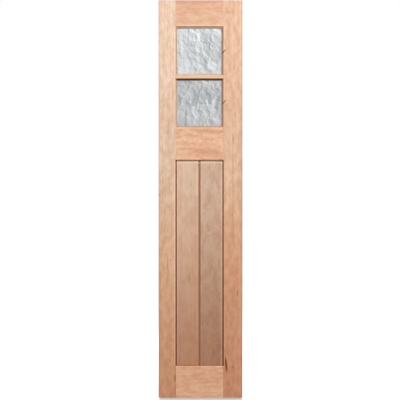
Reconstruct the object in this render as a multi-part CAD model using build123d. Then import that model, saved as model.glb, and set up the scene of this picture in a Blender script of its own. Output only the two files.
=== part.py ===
"""Timber sidelight panel that stands beside an entrance door.

Two square lights of patterned glass sit over a tall panel of two V-jointed boards. Stiles run the
full height, rails are tenoned between them, and splayed beads hold the glass on both faces.

Frame: +X to the right seen from outside, +Y indoors (the outside face is at -Y), +Z up.
Origin: middle of the bottom edge, at half thickness. All sizes are in millimetres.
"""

import os

from build123d import *

# Overall size
PANEL_HEIGHT = 2040.0
PANEL_WIDTH = 430.0
PANEL_THICKNESS = 40.0

# Frame members, as seen on the face
LEFT_STILE_WIDTH = 87.5
RIGHT_STILE_WIDTH = 98.5
TOP_RAIL_HEIGHT = 137.0
MIDDLE_RAIL_HEIGHT = 170.5
BOTTOM_RAIL_HEIGHT = 163.0
GLAZING_BAR_HEIGHT = 19.0
LIGHT_HEIGHT = 248.0
PANEL_ARRIS = 4.0
LIGHT_ARRIS = 3.0
OUTER_ARRIS = 1.5

# Mortice and tenon joints
TENON_THICKNESS = 13.0
TENON_LENGTH = 60.0
TENON_END_SET_IN = 30.0
TENON_LIGHT_SET_IN = 15.0
TWIN_TENON_GAP = 30.0
BAR_TENON_LENGTH = 15.0
BAR_TENON_SET_IN = 4.0
GLUE_GAP = 0.15
MORTICE_END_GAP = 2.0

# V-jointed boards of the lower panel
BOARD_THICKNESS = 20.0
BOARD_V_CHAMFER = 6.0
BOARD_CLEARANCE = 0.5
FRAME_GROOVE_DEPTH = 12.0
FRAME_TONGUE_THICKNESS = 9.0
FRAME_TONGUE_END_GAP = 2.0
TONGUE_SIDE_GAP = 0.15
SEAM_TONGUE_THICKNESS = 6.0
SEAM_TONGUE_LENGTH = 7.0
SEAM_TONGUE_END_GAP = 0.8

# Glass and its beads
PANE_THICKNESS = 4.0
PANE_EDGE_GAP = 2.5
BEAD_SIGHT_WIDTH = 7.0
BEAD_FACE_WIDTH = 1.0
BEAD_QUIRK = 2.0
BEAD_SET_BACK = 3.0

# Places that follow from the sizes above
HALF_THICKNESS = PANEL_THICKNESS / 2
STILE_OUTER_LEFT = -PANEL_WIDTH / 2
STILE_OUTER_RIGHT = PANEL_WIDTH / 2
OPENING_LEFT = STILE_OUTER_LEFT + LEFT_STILE_WIDTH
OPENING_RIGHT = STILE_OUTER_RIGHT - RIGHT_STILE_WIDTH
OPENING_WIDTH = OPENING_RIGHT - OPENING_LEFT
OPENING_MIDDLE = (OPENING_LEFT + OPENING_RIGHT) / 2

BOTTOM_RAIL_TOP = BOTTOM_RAIL_HEIGHT
TOP_RAIL_BOTTOM = PANEL_HEIGHT - TOP_RAIL_HEIGHT
UPPER_LIGHT_BOTTOM = TOP_RAIL_BOTTOM - LIGHT_HEIGHT
GLAZING_BAR_BOTTOM = UPPER_LIGHT_BOTTOM - GLAZING_BAR_HEIGHT
MIDDLE_RAIL_TOP = GLAZING_BAR_BOTTOM - LIGHT_HEIGHT
MIDDLE_RAIL_BOTTOM = MIDDLE_RAIL_TOP - MIDDLE_RAIL_HEIGHT

FRAME_TONGUE_LENGTH = FRAME_GROOVE_DEPTH - FRAME_TONGUE_END_GAP
BEAD_DEPTH = HALF_THICKNESS - PANE_THICKNESS / 2 - BEAD_SET_BACK

# Lowest and highest edge of each opening in the frame
PANEL_OPENING = (BOTTOM_RAIL_TOP, MIDDLE_RAIL_BOTTOM)
LIGHT_OPENINGS = {
    "upper": (UPPER_LIGHT_BOTTOM, TOP_RAIL_BOTTOM),
    "lower": (MIDDLE_RAIL_TOP, GLAZING_BAR_BOTTOM),
}


def block(x_span, y_span, z_span):
    """A box between the two ends of each span."""
    spans = (x_span, y_span, z_span)
    size = [high - low for low, high in spans]
    middle = [(low + high) / 2 for low, high in spans]
    return Pos(*middle) * Box(*size)


def about_middle(thickness):
    """The span of a layer of this thickness at the panel's half thickness."""
    return (-thickness / 2, thickness / 2)


# Tenons and mortices


def tenon_spans():
    """The heights of each rail's tenons, set in from the edges that are grooved, glazed or open."""
    top = [(TOP_RAIL_BOTTOM + TENON_LIGHT_SET_IN, PANEL_HEIGHT - TENON_END_SET_IN)]
    middle = twin(MIDDLE_RAIL_BOTTOM + FRAME_GROOVE_DEPTH, MIDDLE_RAIL_TOP - TENON_LIGHT_SET_IN)
    bottom = twin(TENON_END_SET_IN, BOTTOM_RAIL_TOP - FRAME_GROOVE_DEPTH)
    return {"top_rail": top, "middle_rail": middle, "bottom_rail": bottom}


def twin(low, high):
    """Two tenons with a gap between them, as a wide rail has."""
    middle = (low + high) / 2
    return [(low, middle - TWIN_TENON_GAP / 2), (middle + TWIN_TENON_GAP / 2, high)]


def bar_tenon_span():
    """The height of the glazing bar's stub tenon."""
    return (GLAZING_BAR_BOTTOM + BAR_TENON_SET_IN, UPPER_LIGHT_BOTTOM - BAR_TENON_SET_IN)


def through_tenon(span, length):
    """One tenon that stands out of both ends of a rail, joined through the rail."""
    return block((OPENING_LEFT - length, OPENING_RIGHT + length), about_middle(TENON_THICKNESS), span)


def mortices():
    """The mortices of both stiles as one cutter, with room for glue round each tenon."""
    sized = [(span, TENON_LENGTH) for spans in tenon_spans().values() for span in spans]
    sized.append((bar_tenon_span(), BAR_TENON_LENGTH))
    cutter = Part()
    for (low, high), length in sized:
        reach = length + MORTICE_END_GAP
        cutter += block(
            (OPENING_LEFT - reach, OPENING_RIGHT + reach),
            about_middle(TENON_THICKNESS + 2 * GLUE_GAP),
            (low - GLUE_GAP, high + GLUE_GAP),
        )
    return cutter


# Cutters that several frame members share


def panel_groove():
    """The groove that runs round the lower opening and houses the boards' tongues."""
    low, high = PANEL_OPENING
    return block(
        (OPENING_LEFT - FRAME_GROOVE_DEPTH, OPENING_RIGHT + FRAME_GROOVE_DEPTH),
        about_middle(FRAME_TONGUE_THICKNESS + 2 * TONGUE_SIDE_GAP),
        (low - FRAME_GROOVE_DEPTH, high + FRAME_GROOVE_DEPTH),
    )


def opening_arrises():
    """Chamfers worked round each opening on both faces, mitred where they meet in the corners."""
    worked = [(PANEL_OPENING, PANEL_ARRIS)]
    worked += [(opening, LIGHT_ARRIS) for opening in LIGHT_OPENINGS.values()]
    cutter = Part()
    for (low, high), arris in worked:
        centre = (OPENING_MIDDLE, -HALF_THICKNESS, (low + high) / 2)
        face = Plane(origin=centre, x_dir=(1, 0, 0), z_dir=(0, 1, 0))
        grown = Rectangle(OPENING_WIDTH + 2 * arris, high - low + 2 * arris)
        true_size = Rectangle(OPENING_WIDTH, high - low)
        front = loft([face * grown, face.offset(arris) * true_size])
        cutter += front
        cutter += mirror(front, about=Plane.XZ)
    return cutter


# Frame members


def stile(outer, inner):
    """A full-height stile from its outer edge to its inner edge, before the joints are cut."""
    blank = block(sorted((outer, inner)), about_middle(PANEL_THICKNESS), (0, PANEL_HEIGHT))
    long_edges = blank.edges().filter_by(Axis.Z).sort_by_distance((outer, 0, PANEL_HEIGHT / 2))
    return chamfer(long_edges[:2], OUTER_ARRIS)


def frame_members():
    """Stiles, rails and glazing bar, keyed by name."""
    spans = {
        "top_rail": (TOP_RAIL_BOTTOM, PANEL_HEIGHT),
        "middle_rail": (MIDDLE_RAIL_BOTTOM, MIDDLE_RAIL_TOP),
        "bottom_rail": (0, BOTTOM_RAIL_TOP),
    }
    bar_span = (GLAZING_BAR_BOTTOM, UPPER_LIGHT_BOTTOM)
    between_stiles = (OPENING_LEFT, OPENING_RIGHT)
    full_thickness = about_middle(PANEL_THICKNESS)
    worked_edges = panel_groove() + opening_arrises()

    members = {}
    for name, (outer, inner) in {
        "left_stile": (STILE_OUTER_LEFT, OPENING_LEFT),
        "right_stile": (STILE_OUTER_RIGHT, OPENING_RIGHT),
    }.items():
        members[name] = stile(outer, inner) - worked_edges - mortices()

    for name, span in spans.items():
        rail = block(between_stiles, full_thickness, span) - worked_edges
        for tenon_span in tenon_spans()[name]:
            rail += through_tenon(tenon_span, TENON_LENGTH)
        members[name] = rail

    bar = block(between_stiles, full_thickness, bar_span) - worked_edges
    members["glazing_bar"] = bar + through_tenon(bar_tenon_span(), BAR_TENON_LENGTH)
    return members


# Lower panel


def board_section(seam, edge):
    """Plan of one board from the seam to its outer edge, with its four long arrises cut to half a V."""
    low, high = sorted((seam, edge))
    half = BOARD_THICKNESS / 2
    section = Rectangle(high - low, 2 * half)
    return Pos((low + high) / 2, 0) * chamfer(section.vertices(), BOARD_V_CHAMFER)


def board(seam, edge, tongue_end):
    """One V-jointed board that stands on the bottom rail, with a tongue into the groove on three sides."""
    low, high = PANEL_OPENING
    height = high - BOARD_CLEARANCE - low
    body = Pos(0, 0, low) * extrude(board_section(seam, edge), height, dir=(0, 0, 1))
    tongue_heights = (low - FRAME_TONGUE_LENGTH, high + FRAME_TONGUE_LENGTH)
    tongue = block(sorted((seam, tongue_end)), about_middle(FRAME_TONGUE_THICKNESS), tongue_heights)
    return body + tongue


def seam_joint(length, side_gap):
    """The tongue, or with a gap round it the groove, that joins the boards along their seam."""
    low, high = PANEL_OPENING
    heights = (low - FRAME_TONGUE_LENGTH, high + FRAME_TONGUE_LENGTH)
    return block(
        (OPENING_MIDDLE, OPENING_MIDDLE + length),
        about_middle(SEAM_TONGUE_THICKNESS + 2 * side_gap),
        heights,
    )


def panel_boards():
    """The two boards, tongued and grooved together behind the middle V."""
    left = board(
        OPENING_MIDDLE, OPENING_LEFT + BOARD_CLEARANCE, OPENING_LEFT - FRAME_TONGUE_LENGTH
    )
    right = board(
        OPENING_MIDDLE, OPENING_RIGHT - BOARD_CLEARANCE, OPENING_RIGHT + FRAME_TONGUE_LENGTH
    )
    return {
        "left_panel_board": left + seam_joint(SEAM_TONGUE_LENGTH, 0),
        "right_panel_board": right
        - seam_joint(SEAM_TONGUE_LENGTH + SEAM_TONGUE_END_GAP, TONGUE_SIDE_GAP),
    }


# Glass and beads


def pane(low, high):
    """A pane that stands on the lower edge of its opening, with a gap at its sides and top."""
    return block(
        (OPENING_LEFT + PANE_EDGE_GAP, OPENING_RIGHT - PANE_EDGE_GAP),
        about_middle(PANE_THICKNESS),
        (low, high - PANE_EDGE_GAP),
    )


def bead(length):
    """A splayed bead along X on the outside face of the glass, mitred at both ends.

    Its back lies at z = 0, on the edge of the opening, and it stands up towards the middle of the light.
    """
    glass_face = -PANE_THICKNESS / 2
    outside = glass_face - BEAD_DEPTH
    section = make_face(
        Polyline(
            (glass_face, 0),
            (glass_face, BEAD_SIGHT_WIDTH),
            (glass_face - BEAD_QUIRK, BEAD_SIGHT_WIDTH),
            (outside, BEAD_FACE_WIDTH),
            (outside, 0),
            close=True,
        )
    )
    strip = extrude(Plane.YZ * section, length / 2, both=True)
    for end in (-1, 1):
        mitre = Plane(origin=(end * length / 2, 0, 0), z_dir=(end, 0, 1))
        strip = split(strip, bisect_by=mitre, keep=Keep.BOTTOM)
    return strip


def beads(light, low, high):
    """The four beads on each face of one light, keyed by name."""
    centre = Pos(OPENING_MIDDLE, 0, (low + high) / 2)
    sides = {
        "bottom": (0, OPENING_WIDTH, high - low),
        "left": (90, high - low, OPENING_WIDTH),
        "top": (180, OPENING_WIDTH, high - low),
        "right": (270, high - low, OPENING_WIDTH),
    }
    made = {}
    for side, (turn, length, across) in sides.items():
        front = centre * Rot(0, turn, 0) * Pos(0, 0, -across / 2) * bead(length)
        made[f"{light}_front_bead_{side}"] = front
        made[f"{light}_back_bead_{side}"] = mirror(front, about=Plane.XZ)
    return made


def all_pieces():
    """Every piece of the sidelight, keyed by name."""
    pieces = frame_members() | panel_boards()
    for light, (low, high) in LIGHT_OPENINGS.items():
        pieces[f"{light}_pane"] = pane(low, high)
        pieces |= beads(light, low, high)
    return pieces


os.makedirs("parts", exist_ok=True)
for piece_name, shape in all_pieces().items():
    export_step(shape, f"parts/{piece_name}.step")
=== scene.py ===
"""Looks of a timber sidelight panel: raw pinkish hardwood, patterned glass and pinned beads, on white.

Everything is in metres in the panel's own frame: +X to the right seen from outside, +Y indoors, +Z up, with
the origin in the middle of the bottom edge. The outside face, which the camera sees, is at -Y.
"""
import math

import bpy
import numpy as np
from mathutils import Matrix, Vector


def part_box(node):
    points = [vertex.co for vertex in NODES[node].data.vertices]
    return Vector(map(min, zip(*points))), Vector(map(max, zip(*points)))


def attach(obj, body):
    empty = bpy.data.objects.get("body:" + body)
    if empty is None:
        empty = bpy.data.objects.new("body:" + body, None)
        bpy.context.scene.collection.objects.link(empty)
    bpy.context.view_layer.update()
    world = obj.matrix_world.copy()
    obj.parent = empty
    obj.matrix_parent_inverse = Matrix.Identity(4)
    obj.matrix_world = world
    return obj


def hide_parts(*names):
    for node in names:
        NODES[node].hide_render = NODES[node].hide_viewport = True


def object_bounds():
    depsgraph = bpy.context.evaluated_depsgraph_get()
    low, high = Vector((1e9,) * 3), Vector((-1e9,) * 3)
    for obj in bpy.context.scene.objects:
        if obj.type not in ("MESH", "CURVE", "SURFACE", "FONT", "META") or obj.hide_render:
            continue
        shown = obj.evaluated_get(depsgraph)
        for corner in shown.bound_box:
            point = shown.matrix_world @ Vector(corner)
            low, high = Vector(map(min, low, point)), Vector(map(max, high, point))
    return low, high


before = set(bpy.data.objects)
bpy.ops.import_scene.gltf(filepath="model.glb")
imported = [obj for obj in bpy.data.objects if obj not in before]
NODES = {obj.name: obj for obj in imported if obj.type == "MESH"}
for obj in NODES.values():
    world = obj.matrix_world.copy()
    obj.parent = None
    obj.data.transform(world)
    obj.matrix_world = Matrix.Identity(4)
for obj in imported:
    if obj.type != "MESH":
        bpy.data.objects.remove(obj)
CAD_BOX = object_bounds()
MM = 0.001

# The photograph's frame, in its pixels, and the camera that repeats it
PHOTO_SIDE = 400.0
PANEL_MIDDLE_PX = 200.5
PANEL_FOOT_PX = 397.7
METRES_PER_PX = 5.132 * MM
CAMERA_DISTANCE = 9.0
SENSOR = 36.0

# Light
AMBIENT = 0.50
KEY_PLACE = (1.3, -3.0, 3.5)
KEY_AIM = (0.0, 0.0, 1.45)
KEY_SIZE = (2.2, 1.4)
KEY_POWER = 95.0
BACK_PLACE = (-1.4, 3.4, 2.8)
BACK_AIM = (0.0, 0.0, 1.0)
BACK_SIZE = (4.5, 4.0)
BACK_POWER = 70.0
FLOOR_SIDE = 14.0
FLOOR_ALBEDO = 0.62
FLOOR_ROUGHNESS = 0.9
FLOOR_GLOW = (0.0, 0.72)
FLOOR_INSET = 0.012
FLOOR_FADE_SIDE = 0.016
FLOOR_FADE_FRONT = 0.26

# Softened edges of the sanded joinery
EDGE_ROUND = 0.5 * MM
EDGE_SEGMENTS = 2
EDGE_ANGLE = math.radians(25)
WELD_REACH = 0.01 * MM


def srgb(red, green, blue):
    """Linear RGBA of an sRGB colour given in steps of 255."""
    def linear(step):
        share = step / 255.0
        return share / 12.92 if share <= 0.04045 else ((share + 0.055) / 1.055) ** 2.4
    return (linear(red), linear(green), linear(blue), 1.0)


class Graph:
    """Adds and links the shader nodes of one material."""

    def __init__(self, name):
        self.material = bpy.data.materials.new(name)
        self.material.use_nodes = True
        self.tree = self.material.node_tree
        self.shader = self.tree.nodes["Principled BSDF"]

    def feed(self, socket, value):
        """Links the socket to another one, or sets it to a plain value."""
        if isinstance(value, bpy.types.NodeSocket):
            self.tree.links.new(value, socket)
        else:
            socket.default_value = value

    def math(self, operation, first, second=0.0):
        """Works out one operation on one or two numbers."""
        node = self.tree.nodes.new("ShaderNodeMath")
        node.operation = operation
        self.feed(node.inputs[0], first)
        self.feed(node.inputs[1], second)
        return node.outputs[0]

    def spread(self, value, low, high, to_low=0.0, to_high=1.0, linear=False):
        """Carries value from low..high to to_low..to_high, smoothly unless it is to be linear."""
        node = self.tree.nodes.new("ShaderNodeMapRange")
        node.interpolation_type = "LINEAR" if linear else "SMOOTHSTEP"
        for socket, number in zip(node.inputs[:5], (value, low, high, to_low, to_high)):
            self.feed(socket, number)
        return node.outputs[0]

    def mix(self, share, first, second, blend="MIX"):
        """Carries the first colour towards the second by a share."""
        node = self.tree.nodes.new("ShaderNodeMix")
        node.data_type = "RGBA"
        node.blend_type = blend
        # A mix node takes its colours at inputs 6 and 7 and gives the mixed one at output 2
        self.feed(node.inputs[0], share)
        self.feed(node.inputs[6], first)
        self.feed(node.inputs[7], second)
        return node.outputs[2]

    def noise(self, vector, detail=2.0):
        """Noise from 0 to 1 that changes with a place."""
        node = self.tree.nodes.new("ShaderNodeTexNoise")
        self.feed(node.inputs["Vector"], vector)
        node.inputs["Scale"].default_value = 1.0
        node.inputs["Detail"].default_value = detail
        return node.outputs["Fac"]

    def noise_along(self, value):
        """Noise from 0 to 1 that changes with one number only."""
        node = self.tree.nodes.new("ShaderNodeTexNoise")
        node.noise_dimensions = "1D"
        self.feed(node.inputs["W"], value)
        node.inputs["Scale"].default_value = 1.0
        return node.outputs["Fac"]

    def join(self, x, y, z):
        """A vector of three numbers."""
        node = self.tree.nodes.new("ShaderNodeCombineXYZ")
        for socket, value in zip(node.inputs, (x, y, z)):
            self.feed(socket, value)
        return node.outputs[0]

    def split(self, vector):
        """The three numbers of a vector."""
        node = self.tree.nodes.new("ShaderNodeSeparateXYZ")
        self.feed(node.inputs[0], vector)
        return node.outputs[0], node.outputs[1], node.outputs[2]

    def place(self):
        """Coordinates of the surface in the panel's frame."""
        return self.split(self.tree.nodes.new("ShaderNodeTexCoord").outputs["Object"])

    def facing(self):
        """Direction that the surface faces, in the panel's frame."""
        return self.split(self.tree.nodes.new("ShaderNodeNewGeometry").outputs["Normal"])

    def bump(self, height, distance, strength):
        """Shades the surface as if it stood up by height times distance."""
        node = self.tree.nodes.new("ShaderNodeBump")
        node.inputs["Strength"].default_value = strength
        node.inputs["Distance"].default_value = distance
        self.feed(node.inputs["Height"], height)
        self.feed(self.shader.inputs["Normal"], node.outputs[0])


class Timber:
    """One piece's timber: its tones, where its tree's heart lay and how its grain runs.

    head and foot: the pale and the deep tone at the top and at the bottom of the panel, partly painted light
    heart: the middle of the growth rings, across the piece and in depth, in mm
    run_out: how far that middle drifts, across and in depth, for each metre along the grain from start
    ring: the width of a growth band, in mm
    figure and fleck: how strongly the growth bands and the short flecks show
    grain: the axis that the grain runs along
    seed: the place in the noise that the grain is taken from
    pooled: the sloping faces that carry painted shade, each with the direction that it faces, to the right
    and up, and its share of painted shade at the head and at the foot of the panel
    slope_shade_depth: the distances from the panel's middle, from the bottom of a groove to its rim, over
    which the painted shade thins
    sanded: how much paler the arrises are
    worn and grimed: painted highlight and painted shade lines beside the openings, each with its place,
    reach and share
    lined_to: the height that the painted shade of pooled and grimed ends at
    crossing: bands across the panel, each with its height, reach, share and tone
    waist: how much warmer the timber is halfway down the boarded panel
    edged: painted shade along edges that run the whole length, each with its place, reach and share
    """

    def __init__(
        self, head, foot=None, heart=(0, 0), run_out=(0.0, 0.0), start=0.0, ring=6.0, figure=0.5, fleck=0.10,
        grain="Z", seed=0.0, shaded_slopes=(), slope_shade_depth=None, sanded=0.15, lit_lines=(), shaded_lines=(), lined_to=None,
        crossing=(), waist=0.0, shaded_edges=(),
    ):
        self.head = [srgb(*tone) for tone in head]
        self.foot = [srgb(*tone) for tone in (foot or head)]
        self.heart = [size * MM for size in heart]
        self.run_out = run_out
        self.start = start * MM
        self.ring = ring * MM
        self.figure = figure
        self.fleck = fleck
        self.grain = grain
        self.seed = seed
        self.shaded_slopes = shaded_slopes
        self.slope_shade_depth = slope_shade_depth
        self.sanded = sanded
        self.lit_lines = lit_lines
        self.shaded_lines = shaded_lines
        self.lined_to = lined_to
        self.crossing = crossing
        self.waist = waist
        self.shaded_edges = shaded_edges


class Mark:
    """A slender mark in the outside face: a dark fault, slightly sunk, or a flush of redder timber.

    x and z are its middle, in mm, as are its half sizes. A positive lean tips its head to the left. depth is
    how far the timber takes the mark's tone.
    """

    def __init__(self, x, z, half_length, half_width, lean=0.0, depth=0.6, flush=False):
        self.x = x * MM
        self.z = z * MM
        self.half_length = half_length * MM
        self.half_width = half_width * MM
        self.lean = math.radians(lean)
        self.depth = depth
        self.flush = flush


# Features of the timber: repeats in a metre across and along the grain, shift in the noise, and its detail
WAVES = (9.0, 2.2, 0.0, 1.0)
RIPPLES = (45.0, 9.0, 40.0, 1.0)
BANDS = (18.0, 1.4, 60.0, 1.0)
MOTTLING = (45.0, 20.0, 120.0, 2.0)
STREAKS = (110.0, 14.0, 80.0, 3.0)
FLECKS = (120.0, 50.0, 280.0, 1.0)
FIBRES = (900.0, 30.0, 160.0, 2.0)
PORES = (1300.0, 60.0, 200.0, 1.0)
CASTS = (24.0, 7.0, 240.0, 2.0)

# How far the waves and ripples bend the growth bands, and how strongly the other features show
WAVE_SWAY = 30.0 * MM
RIPPLE_SWAY = 8.0 * MM
BAND_SHARE = 0.40
MOTTLING_SHARE = 0.62
STREAK_SHARE = 0.18
FIBRE_SHARE = 0.18
PORE_SHARE = 0.30
NOISE_SPREAD = (0.32, 0.68)
PORE_SPREAD = (0.60, 0.72)
TONE_SPREAD = (0.15, 0.85)

# The timber's surface
TIMBER_GLOSS = 0.15
TIMBER_ROUGHNESS = (0.42, 0.54)
BUMP_DEPTH = 0.12 * MM
BUMP_STRENGTH = 0.6
FIBRE_RISE = 0.5
MARK_SINK = 3.0
SQUARE_FACE = (0.80, 0.97)
END_GRAIN_SHARE = 0.55

# Tones of the timber besides those of each piece, with painted shade and highlight, and where painted shade
# lies
PINK_CAST = (1.013, 0.980, 0.995, 1.0)
TAN_CAST = (0.994, 1.005, 0.974, 1.0)
PORE_TONE = srgb(150, 96, 66)
MARK_TONE = srgb(126, 62, 20)
FLUSH_TONE = srgb(196, 122, 96)
END_GRAIN_TONE = srgb(150, 104, 76)
PAINTED_SHADE_TONE = srgb(140, 62, 6)
SHADE_TONE = srgb(200, 150, 120)
SHADE_LINE_OVERRUN = 5.0 * MM
LINE_END_FADE = 2.0 * MM
SHADE_AT_RIM = 0.5
SPLAY_RISE = (0.35, 0.60)
SPLAY_FALL = (0.80, 0.95)
SANDED_AND_HIGHLIGHT_TONE = srgb(246, 218, 194)
PAINTED_HIGHLIGHT_TONE = srgb(255, 214, 184)
HIGHLIGHT_AT_FOOT = 0.45
WAIST_CAST = (1.02, 0.965, 0.90, 1.0)
NO_CAST = (1.0, 1.0, 1.0, 1.0)

# Heights of the drift in tone and painted light and of the warmer waist, and directions sloping faces look
# in
TONE_AND_LIGHT_DRIFT = (0.10, 1.30)
WAIST = (0.35, 0.72, 1.20)
LEFT = (-1.0, 0.0)
RIGHT = (1.0, 0.0)
DOWN = (0.0, -1.0)

# The openings, and the painted shade and highlight lines beside their edges
PANEL_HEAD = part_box("middle_rail")[0].z
OPENING_HEIGHTS = (
    (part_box("bottom_rail")[1].z, PANEL_HEAD),
    (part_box("middle_rail")[1].z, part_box("top_rail")[0].z),
)
OPENING_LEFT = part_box("lower_front_bead_bottom")[0].x
OPENING_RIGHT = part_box("lower_front_bead_bottom")[1].x
SEAM = (OPENING_LEFT + OPENING_RIGHT) / 2.0
BOARD_V = 6.5 * MM
BOARD_EDGE = 9.0 * MM
STILE_EDGE = 5.2 * MM
OUTER_EDGE = 1.0 * MM
BOARD_SHADE_DEPTHS = (4.5 * MM, 10.0 * MM)

# Bands across the timber: height, reach, share and tone; pale ones are painted highlight, dark ones painted
# shade
TOP_RAIL_FOOT = ((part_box("top_rail")[0].z + 8.0 * MM, 8.0 * MM, 0.4, SANDED_AND_HIGHLIGHT_TONE),)
MIDDLE_RAIL_HEAD = ((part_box("middle_rail")[1].z - 6.5 * MM, 6.0 * MM, 0.25, SANDED_AND_HIGHLIGHT_TONE),)
BOARD_ENDS = (
    (PANEL_HEAD - 11.0 * MM, 4.5 * MM, 0.8, SANDED_AND_HIGHLIGHT_TONE),
    (PANEL_HEAD - 66.0 * MM, 60.0 * MM, 0.10, SHADE_TONE),
    (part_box("bottom_rail")[1].z + 2.0 * MM, 4.0 * MM, 0.45, PAINTED_SHADE_TONE),
)
LEFT_STILE_SHADE = ((1.415, 0.23, 0.14, SHADE_TONE),)
RIGHT_STILE_SHADES = ((1.487, 0.15, 0.15, SHADE_TONE), (0.53, 0.32, 0.035, PAINTED_SHADE_TONE))

# The timber of each piece, with painted shade on its slopes, lines and edges and painted highlight by
# openings
TIMBERS = {
    # The left stile's arrises are paler than sanding leaves them, as painted highlight
    "left_stile": Timber(
        head=((245, 217, 192), (222, 182, 155)), foot=((222, 169, 131), (204, 144, 110)),
        heart=(-420, 90), run_out=(0.02, 0.01), figure=0.3, fleck=0.16, seed=3.1, sanded=0.45,
        lit_lines=((OPENING_LEFT - STILE_EDGE, 4.5 * MM, 0.80),), shaded_lines=((OPENING_LEFT, 3.5 * MM, 0.95),),
        lined_to=PANEL_HEAD, waist=1.0,
        shaded_edges=((CAD_BOX[0].x + OUTER_EDGE, 5.0 * MM, 0.15),), crossing=LEFT_STILE_SHADE,
    ),
    "right_stile": Timber(
        head=((239, 202, 170), (219, 172, 142)), foot=((219, 161, 125), (203, 138, 106)),
        heart=(330, 70), run_out=(-0.03, 0.02), figure=0.25, fleck=0.15, seed=7.7,
        shaded_slopes=((LEFT, 0.62, 0.88),), lined_to=PANEL_HEAD,
        lit_lines=((OPENING_RIGHT + STILE_EDGE, 4.5 * MM, 0.35),), waist=0.9,
        shaded_edges=((CAD_BOX[1].x - OUTER_EDGE, 8.0 * MM, 0.32),), crossing=RIGHT_STILE_SHADES,
    ),
    "top_rail": Timber(
        head=((233, 189, 157), (219, 165, 135)),
        heart=(2180, 60), run_out=(0.04, 0.0), ring=22.0, figure=0.15, fleck=0.16, grain="X", seed=11.3,
        shaded_slopes=((DOWN, 0.85, 0.85),), crossing=TOP_RAIL_FOOT,
    ),
    "middle_rail": Timber(
        head=((244, 202, 168), (226, 167, 136)),
        heart=(1190, 40), run_out=(0.0, 0.14), start=-127, ring=22.0, figure=0.42, fleck=0.30, grain="X",
        seed=128.9, shaded_slopes=((DOWN, 0.82, 0.82),), lined_to=PANEL_HEAD, crossing=MIDDLE_RAIL_HEAD,
    ),
    "bottom_rail": Timber(
        head=((245, 201, 164), (229, 168, 135)),
        heart=(-260, 80), run_out=(0.03, 0.0), ring=16.0, figure=0.25, fleck=0.16, grain="X", seed=169.9,
    ),
    "glazing_bar": Timber(
        head=((241, 214, 182), (227, 187, 156)),
        heart=(1800, 40), grain="X", seed=9.4, shaded_slopes=((DOWN, 0.98, 0.98),),
    ),
    "left_panel_board": Timber(
        head=((235, 206, 180), (218, 181, 156)), foot=((197, 148, 117), (187, 132, 103)),
        heart=(-260, 30), run_out=(0.01, 0.0), seed=180.8,
        shaded_slopes=((LEFT, 0.80, 0.98), (RIGHT, 0.98, 0.70)), slope_shade_depth=BOARD_SHADE_DEPTHS,
        crossing=BOARD_ENDS, waist=0.5,
        lit_lines=(
            (OPENING_LEFT + BOARD_V, 18.0 * MM, 0.15),
            (OPENING_LEFT + BOARD_EDGE, 6.0 * MM, 0.45),
            (SEAM - BOARD_V, 6.0 * MM, 0.12),
        ),
    ),
    "right_panel_board": Timber(
        head=((223, 195, 170), (205, 169, 145)), foot=((181, 136, 106), (171, 119, 93)),
        heart=(52, 10), run_out=(0.0, 0.10), start=450, ring=11.0, fleck=0.28, seed=17.5,
        shaded_slopes=((LEFT, 0.98, 0.70),), slope_shade_depth=BOARD_SHADE_DEPTHS,
        crossing=BOARD_ENDS, waist=0.4,
        lit_lines=((SEAM + BOARD_V, 8.0 * MM, 0.20), (OPENING_RIGHT - BOARD_EDGE, 6.0 * MM, 0.45)),
        shaded_lines=((OPENING_RIGHT, 4.0 * MM, 0.6),),
    ),
}

# Tones of the beads by side: painted light on the bottom and left ones, painted shade on the top and right
# ones
LIT_AND_SHADED_BEAD_TONES = {
    "top": ((217, 174, 144), (198, 152, 123)),
    "bottom": ((237, 201, 171), (219, 180, 150)),
    "left": ((231, 195, 169), (212, 173, 146)),
    "right": ((217, 176, 150), (198, 154, 126)),
}
# Beads of their own tones: painted highlight on the upper top bead, painted shade on the lower top and
# bottom beads
BEAD_PAINTED_LIGHT_AND_SHADE = {
    "upper_front_bead_top": ((234, 206, 184), (216, 188, 166)),
    "lower_front_bead_top": ((108, 54, 28), (86, 40, 20)),
    "lower_front_bead_bottom": ((212, 175, 148), (193, 154, 128)),
}
BEAD_HEART_ACROSS = (1500, 60)
BEAD_HEART_UPRIGHT = (300, 60)
BEAD_SEED = 20.0

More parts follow.
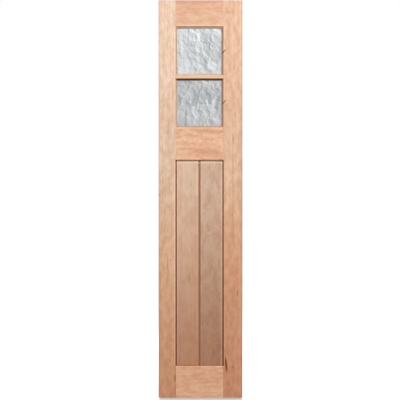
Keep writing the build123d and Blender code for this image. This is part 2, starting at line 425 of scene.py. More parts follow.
# Faults and flushes of the timber that the photograph shows
MARKS = {
    "right_stile": [
        Mark(131.4, 171.0, 52, 7.5, lean=4.5, depth=1.0),
        Mark(166.2, 157.5, 9, 6.0, depth=0.45),
        Mark(166.0, 1066.0, 380, 8.0, lean=0.3, depth=0.17),
        Mark(168.0, 1330.0, 40, 5.0, lean=2.0, depth=0.35),
        Mark(189.0, 534.8, 24, 5.0, depth=0.45),
        Mark(162.0, 937.0, 14, 4.0, depth=0.30),
        Mark(119.0, 1776.0, 19, 3.6, lean=-42, depth=1.0),
        Mark(121.0, 1517.5, 19, 3.6, lean=-42, depth=0.9),
        Mark(137.0, 1979.0, 12, 9.0, lean=-40, depth=0.22),
        Mark(149.0, 1972.0, 10, 6.0, lean=-30, depth=0.18),
    ],
    "left_stile": [
        Mark(-131.5, 98.5, 20, 5.5, depth=0.6),
        Mark(-168.7, 690.0, 40, 4.5, lean=1.0, depth=0.28),
        Mark(-153.5, 706.0, 14, 4.5, lean=3.0, depth=0.30),
        Mark(-168.0, 640.0, 55, 4.0, lean=-1.0, depth=0.20),
        Mark(-209.0, 1040.0, 12, 4.0, depth=0.30),
        Mark(-167.0, 1358.0, 14, 5.0, depth=0.20),
    ],
    "middle_rail": [
        Mark(40.0, 1264.0, 110, 24.0, lean=82, depth=0.42, flush=True),
        Mark(-84.0, 1279.0, 62, 9.0, lean=88, depth=0.18, flush=True),
        Mark(48.0, 1368.0, 95, 18.0, lean=90, depth=0.34, flush=True),
    ],
    "upper_front_bead_right": [Mark(111.0, 1769.0, 15, 3.6, lean=-42, depth=0.9)],
    "lower_front_bead_right": [Mark(113.0, 1510.0, 13, 3.6, lean=-42, depth=0.8)],
    "left_panel_board": [Mark(-57.8, 617.0, 34, 4.5, lean=0.5, depth=0.34)],
    "right_panel_board": [
        Mark(48.0, 640.0, 30, 4.5, lean=-4.0, depth=0.20),
        Mark(52.0, 544.0, 16, 4.0, depth=0.18),
        Mark(100.2, 498.0, 8, 4.0, depth=0.45),
    ],
}

# The depths over which a mark fades, in front of the panel's middle
MARK_REACH = (-4.0 * MM, -2.0 * MM)


def mark_mask(graph, mark, x, y, z):
    """How strongly the mark shows at a place: full on its middle line, nothing past its ends."""
    across = graph.math("SUBTRACT", x, mark.x)
    along = graph.math("SUBTRACT", z, mark.z)
    turned_along = graph.math(
        "SUBTRACT",
        graph.math("MULTIPLY", along, math.cos(mark.lean)),
        graph.math("MULTIPLY", across, math.sin(mark.lean)),
    )
    turned_across = graph.math(
        "ADD",
        graph.math("MULTIPLY", across, math.cos(mark.lean)),
        graph.math("MULTIPLY", along, math.sin(mark.lean)),
    )
    share_along = graph.math("DIVIDE", turned_along, mark.half_length)
    share_across = graph.math("DIVIDE", turned_across, mark.half_width)
    far = graph.math(
        "ADD",
        graph.math("MULTIPLY", share_along, share_along),
        graph.math("MULTIPLY", share_across, share_across),
    )
    inside = graph.spread(far, 0.0, 1.0, mark.depth, 0.0)
    outside_face = graph.spread(y, *MARK_REACH, 1.0, 0.0)
    return graph.math("MULTIPLY", inside, outside_face)


def growth_rings(graph, timber, across, depth, along):
    """Noise from 0 to 1 that changes with the distance from the tree's heart only."""
    length = graph.math("SUBTRACT", along, timber.start)
    ring_across = graph.math(
        "SUBTRACT",
        graph.math("SUBTRACT", across, timber.heart[0]),
        graph.math("MULTIPLY", length, timber.run_out[0]),
    )
    ring_depth = graph.math(
        "SUBTRACT",
        graph.math("SUBTRACT", depth, timber.heart[1]),
        graph.math("MULTIPLY", length, timber.run_out[1]),
    )
    from_heart = graph.math(
        "SQRT",
        graph.math(
            "ADD",
            graph.math("MULTIPLY", ring_across, ring_across),
            graph.math("MULTIPLY", ring_depth, ring_depth),
        ),
    )
    return graph.noise_along(graph.math("ADD", graph.math("DIVIDE", from_heart, timber.ring), timber.seed))


def lined_share(graph, timber, z):
    """1 up to the height that a piece's lines end at and 0 above it."""
    if timber.lined_to is None:
        return 1.0
    return graph.spread(z, timber.lined_to + SHADE_LINE_OVERRUN, timber.lined_to + SHADE_LINE_OVERRUN + LINE_END_FADE, 1.0, 0.0)


def slope_shade_share(graph, timber, face_x, face_z, y, z):
    """How much painted shade lies on a sloping face, the most of it at the bottom of a groove."""
    share = 0.0
    for (to_right, upward), at_head, at_foot in timber.shaded_slopes:
        turned = graph.math(
            "ADD",
            graph.math("MULTIPLY", face_x, to_right),
            graph.math("MULTIPLY", face_z, upward),
        )
        rising = graph.spread(turned, *SPLAY_RISE)
        sloping = graph.math("MULTIPLY", rising, graph.spread(turned, *SPLAY_FALL, 1.0, 0.0))
        most = graph.spread(z, *TONE_AND_LIGHT_DRIFT, at_foot, at_head)
        share = graph.math("ADD", share, graph.math("MULTIPLY", sloping, most))
    if timber.slope_shade_depth is None:
        return share
    deep = graph.spread(graph.math("ABSOLUTE", y), *timber.slope_shade_depth, 1.0, SHADE_AT_RIM, linear=True)
    return graph.math("MULTIPLY", share, deep)


def beside_openings(graph, z):
    """1 at the heights of the lights and of the boarded panel and 0 at those of the rails."""
    share = 0.0
    for low, high in OPENING_HEIGHTS:
        above = graph.spread(z, low - LINE_END_FADE, low + LINE_END_FADE)
        below = graph.spread(z, high - LINE_END_FADE, high + LINE_END_FADE, 1.0, 0.0)
        share = graph.math("ADD", share, graph.math("MULTIPLY", above, below))
    return share


def edge_share(graph, across, edges):
    """How strongly a line shows beside the given edges."""
    total = 0.0
    for edge, reach, share in edges:
        beside = graph.math("ABSOLUTE", graph.math("SUBTRACT", across, edge))
        total = graph.math("ADD", total, graph.spread(beside, 0.0, reach, share, 0.0))
    return total


def timber_material(name, timber, marks=()):
    """Solid timber: rings about a heart, mottling, streaks and pores along the grain, and end grain."""
    graph = Graph(name)
    x, y, z = graph.place()
    face_x, face_y, face_z = graph.facing()
    upright = timber.grain == "Z"
    across, along = (x, z) if upright else (z, x)
    face_along = face_z if upright else face_x

    def grained(feature):
        """Noise stretched along the grain."""
        across_scale, along_scale, shift, detail = feature
        return graph.noise(graph.join(
            graph.math("MULTIPLY", across, across_scale),
            graph.math("MULTIPLY", y, across_scale),
            graph.math("ADD", graph.math("MULTIPLY", along, along_scale), timber.seed + shift),
        ), detail=detail)

    # Slow waves of the grain
    wave = graph.math("SUBTRACT", grained(WAVES), 0.5)
    ripple = graph.math("SUBTRACT", grained(RIPPLES), 0.5)
    sway = graph.math(
        "ADD",
        graph.math("MULTIPLY", wave, WAVE_SWAY),
        graph.math("MULTIPLY", ripple, RIPPLE_SWAY),
    )
    rings = growth_rings(graph, timber, graph.math("ADD", across, sway), y, along)

    # Long bands, mottling, streaks, flecks, fine fibres and open pores
    layers = (
        (rings, timber.figure),
        (grained(BANDS), BAND_SHARE),
        (grained(MOTTLING), MOTTLING_SHARE),
        (grained(STREAKS), STREAK_SHARE),
    )
    tone = 0.0
    for layer, share in layers:
        tone = graph.math("ADD", tone, graph.math("MULTIPLY", graph.spread(layer, *NOISE_SPREAD), share))
    tone = graph.math("DIVIDE", tone, sum(share for layer, share in layers))
    fibres = grained(FIBRES)
    flecks = graph.spread(grained(FLECKS), *NOISE_SPREAD)
    for layer, share in ((fibres, FIBRE_SHARE), (flecks, timber.fleck)):
        tone = graph.math("ADD", tone, graph.math("MULTIPLY", graph.math("SUBTRACT", layer, 0.5), share))
    tone = graph.spread(tone, *TONE_SPREAD, linear=True)
    pores = graph.spread(grained(PORES), *PORE_SPREAD)

    # The timber deepens from the head of the panel to its foot, partly as painted light, drifts between pink
    # and tan, and is warmer halfway down the boards
    height_share = graph.spread(z, *TONE_AND_LIGHT_DRIFT)
    pale = graph.mix(height_share, timber.foot[0], timber.head[0])
    deep = graph.mix(height_share, timber.foot[1], timber.head[1])
    colour = graph.mix(tone, pale, deep)
    cast = graph.mix(graph.spread(grained(CASTS), *NOISE_SPREAD), PINK_CAST, TAN_CAST)
    colour = graph.mix(1.0, colour, cast, blend="MULTIPLY")
    if timber.waist:
        low, middle, high = WAIST
        rise = graph.spread(z, low, middle, 0.0, timber.waist)
        warmth = graph.math("MULTIPLY", rise, graph.spread(z, middle, high, 1.0, 0.0))
        colour = graph.mix(1.0, colour, graph.mix(warmth, NO_CAST, WAIST_CAST), blend="MULTIPLY")
    colour = graph.mix(graph.math("MULTIPLY", pores, PORE_SHARE), colour, PORE_TONE)

    # Sanding leaves the arrises paler, and painted highlights beside the openings fade towards the foot
    squareness = graph.math(
        "MAXIMUM",
        graph.math("ABSOLUTE", face_y),
        graph.math("MAXIMUM", graph.math("ABSOLUTE", face_x), graph.math("ABSOLUTE", face_z)),
    )
    sanded = graph.spread(squareness, *SQUARE_FACE, timber.sanded, 0.0)
    colour = graph.mix(sanded, colour, SANDED_AND_HIGHLIGHT_TONE)
    if timber.lit_lines:
        lit_lines = graph.math("MULTIPLY", edge_share(graph, across, timber.lit_lines), beside_openings(graph, z))
        lit_lines = graph.math("MULTIPLY", lit_lines, graph.spread(z, *TONE_AND_LIGHT_DRIFT, HIGHLIGHT_AT_FOOT, 1.0))
        colour = graph.mix(lit_lines, colour, PAINTED_HIGHLIGHT_TONE)

    # End grain looks darker, and painted shade darkens sloping faces, lines beside openings, edges and bands
    end_grain = graph.spread(graph.math("ABSOLUTE", face_along), *SQUARE_FACE, 0.0, END_GRAIN_SHARE)
    colour = graph.mix(end_grain, colour, END_GRAIN_TONE)
    lined = lined_share(graph, timber, z)
    if timber.shaded_slopes:
        shaded_slopes = graph.math("MULTIPLY", slope_shade_share(graph, timber, face_x, face_z, y, z), lined)
        colour = graph.mix(shaded_slopes, colour, PAINTED_SHADE_TONE)
    if timber.shaded_lines:
        shaded_lines = edge_share(graph, across, timber.shaded_lines)
        colour = graph.mix(graph.math("MULTIPLY", shaded_lines, lined), colour, PAINTED_SHADE_TONE)
    if timber.shaded_edges:
        colour = graph.mix(edge_share(graph, across, timber.shaded_edges), colour, PAINTED_SHADE_TONE)
    for place, reach, share, tint in timber.crossing:
        beside = graph.math("ABSOLUTE", graph.math("SUBTRACT", z, place))
        colour = graph.mix(graph.spread(beside, 0.0, reach, share, 0.0), colour, tint)

    # Fibres stand up a little, and pores and dark marks are sunk
    height = graph.math("SUBTRACT", graph.math("MULTIPLY", fibres, FIBRE_RISE), pores)
    for mark in marks:
        mask = mark_mask(graph, mark, x, y, z)
        colour = graph.mix(mask, colour, FLUSH_TONE if mark.flush else MARK_TONE)
        if not mark.flush:
            height = graph.math("SUBTRACT", height, graph.math("MULTIPLY", mask, MARK_SINK))

    graph.feed(graph.shader.inputs["Base Color"], colour)
    graph.feed(graph.shader.inputs["Roughness"], graph.spread(tone, 0.0, 1.0, *TIMBER_ROUGHNESS))
    graph.shader.inputs["Specular IOR Level"].default_value = TIMBER_GLOSS
    graph.bump(height, BUMP_DEPTH, BUMP_STRENGTH)
    return graph.material


def soften_edges(piece):
    """Rounds the sharp edges of a CAD piece a little, as sanding does, without touching its mesh."""
    weld = piece.modifiers.new("weld", "WELD")
    weld.merge_threshold = WELD_REACH
    bevel = piece.modifiers.new("sanded edges", "BEVEL")
    bevel.width = EDGE_ROUND
    bevel.segments = EDGE_SEGMENTS
    bevel.limit_method = "ANGLE"
    bevel.angle_limit = EDGE_ANGLE
    piece.modifiers.new("shading", "WEIGHTED_NORMAL")


def dress(node, material):
    """Gives a CAD node its finish."""
    piece = NODES[node]
    piece.data.materials.clear()
    piece.data.materials.append(material)
    soften_edges(piece)


def bead_material(node):
    """Timber of one bead, with the tones of its side, which carry painted light and shade, unless it has its
    own.
    """
    side = node.rsplit("_", 1)[1]
    across = side in ("top", "bottom")
    return timber_material(node + "_timber", Timber(
        head=BEAD_PAINTED_LIGHT_AND_SHADE.get(node, LIT_AND_SHADED_BEAD_TONES[side]),
        heart=BEAD_HEART_ACROSS if across else BEAD_HEART_UPRIGHT,
        grain="X" if across else "Z",
        seed=BEAD_SEED + sorted(NODES).index(node),
    ), MARKS.get(node, ()))


def dress_timber():
    """Gives every piece of timber its finish."""
    for node, timber in TIMBERS.items():
        dress(node, timber_material(node + "_timber", timber, MARKS.get(node, ())))
    for node in sorted(NODES):
        if "_bead_" in node:
            dress(node, bead_material(node))


# Filled heads of the pins that hold the beads, three to a bead
BEAD_FACE = 1.0 * MM
BEAD_QUIRK = 2.0 * MM
PIN_RADIUS = 1.0 * MM
PIN_RISE = 0.25 * MM
PIN_RINGS = ((1.0, -0.6 * MM), (1.0, 0.0), (0.7, 0.18 * MM))
PIN_SIDES = 12
PIN_FROM_END = 40.0 * MM
BEAD_INWARD = {"bottom": (0, 0, 1), "top": (0, 0, -1), "left": (1, 0, 0), "right": (-1, 0, 0)}
FILLER_TONES = (srgb(196, 148, 118), srgb(164, 118, 90))
FILLER_REPEATS = 1400.0
FILLER_SPREAD = (0.35, 0.65)
FILLER_ROUGHNESS = (0.55, 0.70)


def filler_material():
    """Timber filler over the pins, a little darker than the beads and speckled."""
    graph = Graph("pin_filler")
    places = [graph.math("MULTIPLY", place, FILLER_REPEATS) for place in graph.place()]
    speckle = graph.noise(graph.join(*places))
    colour = graph.mix(graph.spread(speckle, *FILLER_SPREAD), *FILLER_TONES)
    graph.feed(graph.shader.inputs["Base Color"], colour)
    graph.feed(graph.shader.inputs["Roughness"], graph.spread(speckle, *FILLER_SPREAD, *FILLER_ROUGHNESS))
    return graph.material


def add_pin(points, faces, place, normal):
    """A low dome on a splay, sunk into the bead."""
    first = len(points)
    side = normal.orthogonal().normalized()
    other = normal.cross(side)
    steps = range(PIN_SIDES)
    for share, height in PIN_RINGS:
        for step in steps:
            turn = 2.0 * math.pi * step / PIN_SIDES
            arm = side * math.cos(turn) + other * math.sin(turn)
            points.append(place + normal * height + arm * PIN_RADIUS * share)
    points.append(place + normal * PIN_RISE)
    faces.append([first + step for step in reversed(steps)])
    for ring in range(len(PIN_RINGS) - 1):
        below = first + ring * PIN_SIDES
        above = below + PIN_SIDES
        faces.extend(
            [below + step, below + (step + 1) % PIN_SIDES, above + (step + 1) % PIN_SIDES, above + step]
            for step in steps
        )
    top = first + (len(PIN_RINGS) - 1) * PIN_SIDES
    faces.extend([top + step, top + (step + 1) % PIN_SIDES, top + PIN_SIDES] for step in steps)


def bead_pins(light, face, material):
    """The pins of the four beads on one face of a light, as one piece."""
    outward = -1.0 if face == "front" else 1.0
    points, faces = [], []
    for side, direction in BEAD_INWARD.items():
        low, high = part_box(f"{light}_{face}_bead_{side}")
        inward = Vector(direction)
        cross, run = (0, 2) if direction[0] else (2, 0)
        outside, glass = (low.y, high.y) if face == "front" else (high.y, low.y)
        quirk = glass + outward * BEAD_QUIRK
        sight = high[cross] - low[cross]
        splay_width = sight - BEAD_FACE
        normal = (inward * abs(quirk - outside) + Vector((0.0, outward * splay_width, 0.0))).normalized()
        place = Vector((0.0, (outside + quirk) / 2.0, 0.0))
        edge = low[cross] if inward[cross] > 0 else high[cross]
        place[cross] = edge + inward[cross] * (BEAD_FACE + splay_width / 2.0)
        for along in (low[run] + PIN_FROM_END, (low[run] + high[run]) / 2.0, high[run] - PIN_FROM_END):
            place[run] = along
            add_pin(points, faces, place, normal)
    name = f"{light}_{face}_bead_pins"
    mesh = bpy.data.meshes.new(name)
    mesh.from_pydata(points, [], faces)
    mesh.shade_smooth()
    mesh.materials.append(material)
    piece = bpy.data.objects.new(name, mesh)
    bpy.context.scene.collection.objects.link(piece)
    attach(piece, "root")


def pin_beads():
    """Adds the pins of all beads."""
    material = filler_material()
    for light in ("upper", "lower"):
        for face in ("front", "back"):
            bead_pins(light, face, material)


# Patterned glass: flakes of three sizes that meet in ridges, the finest in zones, with plates over them
GLASS_PITCH = 1.4 * MM
RELIEF = 1.3 * MM
BACK_RELIEF = 0.3 * MM
RELIEF_BORDER = (5.0 * MM, 10.0 * MM)
RELIEF_SPREAD = 0.25
RELIEF_LIMIT = 0.6
FLAKES = ((34.0 * MM, 0.45), (16.0 * MM, 0.9))
FINE_FLAKES = (8.5 * MM, 0.9)
FLAKE_STRETCH = 1.4
FLAKE_TILT = 0.6
FLAKE_DEPTH = 0.3
FLAKE_SHIFT = 0.5
WANDERS = ((22.0 * MM, 2.5 * MM), (8.0 * MM, 1.0 * MM))
ZONE_SIZE = 50.0 * MM
ZONE_SHARP = 2.5
ZONE_FLOOR = 0.25
PLATE_RIM = 2.0 * MM
PLATE_RISE = 2.6
CLOUD_SIZE = 60.0 * MM
# Painted light and shade of the relief: slopes that face this way are painted paler, those facing away
# darker
PAINTED_LIGHT_DIRECTION = (-0.85, -0.53)
SLOPE_LIMIT = 2.5
SLOPE_SHADE_SHARE = 0.14
PLATE_SHARE = 0.10
CLOUD_SHARE = 0.06
GLASS_TONE_AND_SHADING = "glass_tone_and_shading"


class Plate:
    """A plate that stands out in a pane, or a hollow where its rise is negative.

    x and z are its middle and half_width and half_height its half sizes, in mm. A positive lean tips it to
    the left. pale is its tone against the glass around it.
    """

    def __init__(self, x, z, half_width, half_height, lean=0.0, rise=1.0, pale=0.3):
        self.x = x * MM
        self.z = z * MM
        self.half_width = half_width * MM
        self.half_height = half_height * MM
        self.lean = math.radians(lean)
        self.rise = rise
        self.pale = pale


# The plates that stand out most in the photograph
PLATES = {
    "upper_pane": (
        Plate(-50, 1848, 40, 36, lean=30, pale=0.8),
        Plate(82, 1854, 29, 38, lean=25, rise=1.2, pale=0.8),
        Plate(57, 1697, 25, 22, lean=-20, rise=0.9, pale=2.0),
        Plate(33, 1720, 12, 22, lean=-30, rise=0.8),
        Plate(-34, 1768, 28, 34, lean=30, rise=0.5, pale=-0.2),
        Plate(-5, 1832, 6, 46, lean=14, rise=0.6, pale=0.8),
        Plate(53, 1800, 6, 18, rise=0.6, pale=1.0),
        Plate(36, 1790, 26, 34, lean=20, rise=-0.4, pale=-0.5),
        Plate(-62, 1700, 42, 30, lean=20, rise=-0.3, pale=-0.5),
    ),
    "lower_pane": (
        Plate(69, 1530, 9, 33, lean=-28, rise=0.9, pale=1.8),
        Plate(44, 1515, 7, 16, lean=-25, rise=-0.8, pale=-1.2),
        Plate(52, 1558, 9, 16, rise=0.9, pale=0.7),
        Plate(42, 1590, 30, 22, rise=0.7, pale=0.2),
        Plate(17, 1616, 6, 15, lean=35, rise=0.6, pale=1.6),
        Plate(84, 1614, 14, 12, lean=30, rise=0.6, pale=1.4),
        Plate(30, 1474, 40, 31, lean=15, pale=0.5),
        Plate(-64, 1579, 46, 41, rise=-0.3, pale=-0.1),
        Plate(-60, 1450, 50, 40, rise=0.3, pale=0.7),
    ),
}


def swell(shape, generator, size):
    """Smooth noise of unit strength on a pane's grid, with features of this size."""
    white = generator.standard_normal(shape)
    up = np.fft.fftfreq(shape[0], GLASS_PITCH)[:, None]
    right = np.fft.fftfreq(shape[1], GLASS_PITCH)[None, :]
    kept = np.exp(-2.0 * (right ** 2 + up ** 2) * size ** 2)
    field = np.fft.ifft2(np.fft.fft2(white) * kept).real
    return field / field.std()


def even(field):
    """The field about its mean, with a spread of one."""
    return (field - field.mean()) / field.std()


def flakes(x, z, generator, size, lean):
    """Hollows of this size that meet in ridges, longer along lean, each with its own tilt and depth."""
    along = (x * math.cos(lean) + z * math.sin(lean)) / (size * FLAKE_STRETCH)
    across = (z * math.cos(lean) - x * math.sin(lean)) / size
    reach = math.ceil(max(np.abs(along).max(), np.abs(across).max())) + 1
    steps = np.arange(-reach, reach + 1)
    middles = np.stack(np.meshgrid(steps, steps), axis=-1).reshape(-1, 2)
    middles = middles + generator.uniform(-FLAKE_SHIFT, FLAKE_SHIFT, middles.shape)
    tilts = FLAKE_TILT * generator.standard_normal(middles.shape)
    depths = FLAKE_DEPTH * generator.standard_normal(len(middles))
    lowest = np.full(x.shape, np.inf)
    for middle, tilt, depth in zip(middles, tilts, depths):
        ahead, aside = along - middle[0], across - middle[1]
        np.minimum(lowest, ahead * (ahead + tilt[0]) + aside * (aside + tilt[1]) + depth, out=lowest)
    return even(lowest)


def laid_plates(plates, x, z):
    """Rise and paleness of the plates, each with a soft rim."""
    rise = np.zeros(x.shape)
    pale = np.zeros(x.shape)
    for plate in plates:
        right, up = x - plate.x, z - plate.z
        across = (right * math.cos(plate.lean) + up * math.sin(plate.lean)) / plate.half_width
        along = (up * math.cos(plate.lean) - right * math.sin(plate.lean)) / plate.half_height
        past_rim = (np.hypot(across, along) - 1.0) * min(plate.half_width, plate.half_height)
        inside = 1.0 / (1.0 + np.exp(past_rim / PLATE_RIM))
        rise += plate.rise * inside
        pale += plate.pale * inside
    return rise, pale


def flaked_relief(plates, x, z, generator, lean):
    """Relief of flaked glass, up to RELIEF_LIMIT either way, and the paleness of its plates."""
    shape = x.shape
    for size, shift in WANDERS:
        x = x + shift * swell(shape, generator, size)
        z = z + shift * swell(shape, generator, size)
    zone = 1.0 / (1.0 + np.exp(-ZONE_SHARP * swell(shape, generator, ZONE_SIZE)))
    right, up = x - x.mean(), z - z.mean()
    relief = sum(share * size * flakes(right, up, generator, size, lean) for size, share in FLAKES)
    size, share = FINE_FLAKES
    fine = share * size * flakes(right, up, generator, size, lean)
    relief += fine * (ZONE_FLOOR + (1.0 - ZONE_FLOOR) * zone)
    rise, pale = laid_plates(plates, x, z)
    relief = RELIEF_SPREAD * even(even(relief) + PLATE_RISE * rise)
    return np.clip(relief, -RELIEF_LIMIT, RELIEF_LIMIT), pale


def flaked_tone_and_shading(relief, pale, generator):
    """Tone of the glass from 0 to 1, with painted shading: paler on slopes that face right and up, and on
    the pale plates.
    """
    up, right = np.gradient(relief)
    painted_slope_shade = PAINTED_LIGHT_DIRECTION[0] * right + PAINTED_LIGHT_DIRECTION[1] * up
    painted_slope_shade = np.clip(painted_slope_shade / painted_slope_shade.std(), -SLOPE_LIMIT, SLOPE_LIMIT)
    clouds = swell(relief.shape, generator, CLOUD_SIZE)
    tone = SLOPE_SHADE_SHARE * painted_slope_shade + CLOUD_SHARE * clouds + PLATE_SHARE * (pale - pale.mean())
    return np.clip(0.5 + tone, 0.0, 1.0)


# The glass's finish, the tones and the seed and lean of each pane
GLASS_CLEAR = 0.7
GLASS_IOR = 1.5
GLASS_ROUGHNESS = (0.44, 0.32)
ROUGH_SPREAD = (0.2, 0.8)
GLASS_GLOSS = 0.2
COOL_CAST = (0.984, 1.0, 1.014, 1.0)
WARM_CAST = (1.012, 1.0, 0.986, 1.0)
CAST_REPEATS = 14.0
CAST_SPREAD = (0.40, 0.60)
# Painted shade on the glass beside the right bead, brown like that bead
PAINTED_BEAD_SHADE = srgb(138, 98, 78)
PAINTED_BEAD_SHADE_SHARE = 0.75
PAINTED_BEAD_SHADE_REACH = 6.0 * MM
GLASS_TONES = {
    "upper_pane": (srgb(214, 215, 216), srgb(139, 143, 145)),
    "lower_pane": (srgb(202, 203, 204), srgb(126, 130, 132)),
}
PANES = {"upper_pane": (84, -76.0), "lower_pane": (99, 72.0)}


def glass_pane(node, seed, lean):
    """A pane of rolled glass in place of the flat CAD pane, with no relief under the beads."""
    low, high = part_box(node)
    columns = int((high.x - low.x) / GLASS_PITCH)
    rows = int((high.z - low.z) / GLASS_PITCH)
    x, z = np.meshgrid(np.linspace(low.x, high.x, columns + 1), np.linspace(low.z, high.z, rows + 1))
    generator = np.random.default_rng(seed)
    edge = np.minimum.reduce([x - low.x, high.x - x, z - low.z, high.z - z])
    fade = np.clip((edge - RELIEF_BORDER[0]) / (RELIEF_BORDER[1] - RELIEF_BORDER[0]), 0.0, 1.0)
    relief, pale = flaked_relief(PLATES[node], x, z, generator, lean)
    tone = flaked_tone_and_shading(relief, pale, generator)
    back_relief, _ = flaked_relief((), x, z, generator, lean)
    front = low.y - RELIEF * fade * relief
    back = high.y + BACK_RELIEF * fade * back_relief

    count = x.size
    points = np.concatenate([
        np.stack([x, front, z], axis=-1).reshape(-1, 3),
        np.stack([x, back, z], axis=-1).reshape(-1, 3),
    ])
    index = np.arange(count).reshape(x.shape)
    quads = np.stack([index[:-1, :-1], index[:-1, 1:], index[1:, 1:], index[1:, :-1]], axis=-1)
    quads = quads.reshape(-1, 4)
    rim = np.concatenate([index[0, :-1], index[:-1, -1], index[-1, :0:-1], index[:0:-1, 0]])
    after = np.roll(rim, -1)
    sides = np.stack([rim, rim + count, after + count, after], axis=-1)
    faces = np.concatenate([quads, quads[:, ::-1] + count, sides])

    mesh = bpy.data.meshes.new(node + "_glass")
    mesh.from_pydata(points.tolist(), [], faces.tolist())
    mesh.shade_smooth()
    attribute = mesh.attributes.new(GLASS_TONE_AND_SHADING, "FLOAT", "POINT")
    attribute.data.foreach_set("value", np.tile(tone.ravel(), 2).astype(np.float32))
    piece = bpy.data.objects.new(node + "_glass", mesh)
    bpy.context.scene.collection.objects.link(piece)
    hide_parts(node)
    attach(piece, "root")
    return piece


def glass_material(name, tones, shaded_edge):
    """Translucent rolled glass: part clear, part milky, with the relief's tone and painted shading and a
    soft gloss.

    Beside the bead at shaded_edge, the one nearest the key light, the glass carries painted shade as brown
    as that bead.
    """
    graph = Graph(name)
    x, y, z = graph.place()
    attribute = graph.tree.nodes.new("ShaderNodeAttribute")
    attribute.attribute_name = GLASS_TONE_AND_SHADING
    tone = attribute.outputs["Fac"]
    bead_shade = graph.spread(x, shaded_edge - PAINTED_BEAD_SHADE_REACH, shaded_edge, 0.0, PAINTED_BEAD_SHADE_SHARE)
    drift = graph.noise(graph.join(*(graph.math("MULTIPLY", place, CAST_REPEATS) for place in (x, y, z))))
    cast = graph.mix(graph.spread(drift, *CAST_SPREAD), COOL_CAST, WARM_CAST)
    colour = graph.mix(1.0, graph.mix(tone, tones[1], tones[0]), cast, blend="MULTIPLY")
    colour = graph.mix(bead_shade, colour, PAINTED_BEAD_SHADE)
    graph.feed(graph.shader.inputs["Base Color"], colour)
    graph.feed(graph.shader.inputs["Roughness"], graph.spread(tone, *ROUGH_SPREAD, *GLASS_ROUGHNESS))
    graph.shader.inputs["Transmission Weight"].default_value = GLASS_CLEAR
    graph.shader.inputs["IOR"].default_value = GLASS_IOR
    graph.shader.inputs["Specular IOR Level"].default_value = GLASS_GLOSS
    return graph.material


def glaze():
    """Sets both panes of glass."""
    for node, (seed, lean) in PANES.items():
        light = node.split("_")[0]
        sight_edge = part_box(f"{light}_front_bead_right")[0].x
        material = glass_material(node + "_rolled_glass", GLASS_TONES[node], sight_edge)
        glass_pane(node, seed, math.radians(lean)).data.materials.append(material)


def seen_directly(tree):
    """1 for what the camera sees directly, in a gloss or through glass, and 0 for light on the object."""
    path = tree.nodes.new("ShaderNodeLightPath")
    seen = path.outputs["Is Camera Ray"]
    for name in ("Is Glossy Ray", "Is Transmission Ray"):
        either = tree.nodes.new("ShaderNodeMath")
        either.operation = "MAXIMUM"
        tree.links.new(seen, either.inputs[0])
        tree.links.new(path.outputs[name], either.inputs[1])
        seen = either.outputs[0]
    return seen


def white_world():
    """White where the camera looks past the panel, and a softer white for the light on it."""
    world = bpy.data.worlds.new("studio")
    bpy.context.scene.world = world
    world.use_nodes = True
    tree = world.node_tree
    background = tree.nodes["Background"]
    background.inputs["Color"].default_value = (1.0, 1.0, 1.0, 1.0)
    strength = tree.nodes.new("ShaderNodeMapRange")
    strength.inputs["To Min"].default_value = AMBIENT
    strength.inputs["To Max"].default_value = 1.0
    tree.links.new(seen_directly(tree), strength.inputs["Value"])
    tree.links.new(strength.outputs[0], background.inputs["Strength"])


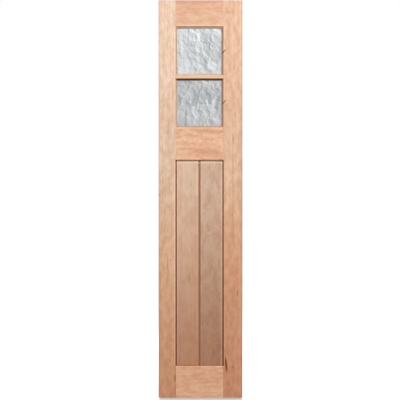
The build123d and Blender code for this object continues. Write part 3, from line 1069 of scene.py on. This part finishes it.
def white_floor():
    """A white floor that keeps the shadow before and behind the panel and fades to plain white around it."""
    mesh = bpy.data.meshes.new("floor")
    half = FLOOR_SIDE / 2.0
    corners = [(-half, -half, 0), (half, -half, 0), (half, half, 0), (-half, half, 0)]
    mesh.from_pydata(corners, [], [(0, 1, 2, 3)])
    floor = bpy.data.objects.new("floor", mesh)
    bpy.context.scene.collection.objects.link(floor)
    graph = Graph("white_floor")
    graph.shader.inputs["Base Color"].default_value = (FLOOR_ALBEDO, FLOOR_ALBEDO, FLOOR_ALBEDO, 1.0)
    graph.shader.inputs["Roughness"].default_value = FLOOR_ROUGHNESS
    graph.shader.inputs["Specular IOR Level"].default_value = 0.0
    graph.shader.inputs["Emission Color"].default_value = (1.0, 1.0, 1.0, 1.0)
    x, y, _ = graph.place()
    clear_x = graph.math("SUBTRACT", graph.math("ABSOLUTE", x), CAD_BOX[1].x - FLOOR_INSET)
    clear_y = graph.math("SUBTRACT", graph.math("ABSOLUTE", y), CAD_BOX[1].y)
    clear = graph.math(
        "MAXIMUM",
        graph.math("DIVIDE", clear_x, FLOOR_FADE_SIDE),
        graph.math("DIVIDE", clear_y, FLOOR_FADE_FRONT),
    )
    glow = graph.spread(clear, 0.0, 1.0, *FLOOR_GLOW)
    seen_glow = graph.math("MULTIPLY", seen_directly(graph.tree), glow)
    graph.feed(graph.shader.inputs["Emission Strength"], seen_glow)
    mesh.materials.append(graph.material)


def soft_lamp(name, place, aim, size, power):
    """A large lamp at a place that shines at a point."""
    light = bpy.data.lights.new(name, "AREA")
    light.shape = "RECTANGLE"
    light.size, light.size_y = size
    light.energy = power
    lamp = bpy.data.objects.new(name, light)
    bpy.context.scene.collection.objects.link(lamp)
    lamp.location = place
    lamp.rotation_euler = (Vector(aim) - Vector(place)).to_track_quat("-Z", "Y").to_euler()
    lamp.visible_camera = False


def photo_camera():
    """A distant camera square to the outside face, framed as the photograph is."""
    outside = CAD_BOX[0].y
    middle = PHOTO_SIDE / 2.0
    camera_data = bpy.data.cameras.new("camera")
    camera_data.sensor_width = SENSOR
    camera_data.lens = SENSOR * CAMERA_DISTANCE / (PHOTO_SIDE * METRES_PER_PX)
    camera = bpy.data.objects.new("camera", camera_data)
    bpy.context.scene.collection.objects.link(camera)
    camera.location = (
        (middle - PANEL_MIDDLE_PX) * METRES_PER_PX,
        outside - CAMERA_DISTANCE,
        (PANEL_FOOT_PX - middle) * METRES_PER_PX,
    )
    camera.rotation_euler = (math.radians(90), 0, 0)
    bpy.context.scene.camera = camera


dress_timber()
pin_beads()
glaze()
white_world()
white_floor()
soft_lamp("key_lamp", KEY_PLACE, KEY_AIM, KEY_SIZE, KEY_POWER)
soft_lamp("back_lamp", BACK_PLACE, BACK_AIM, BACK_SIZE, BACK_POWER)
photo_camera()
bpy.context.scene.view_settings.view_transform = "Standard"
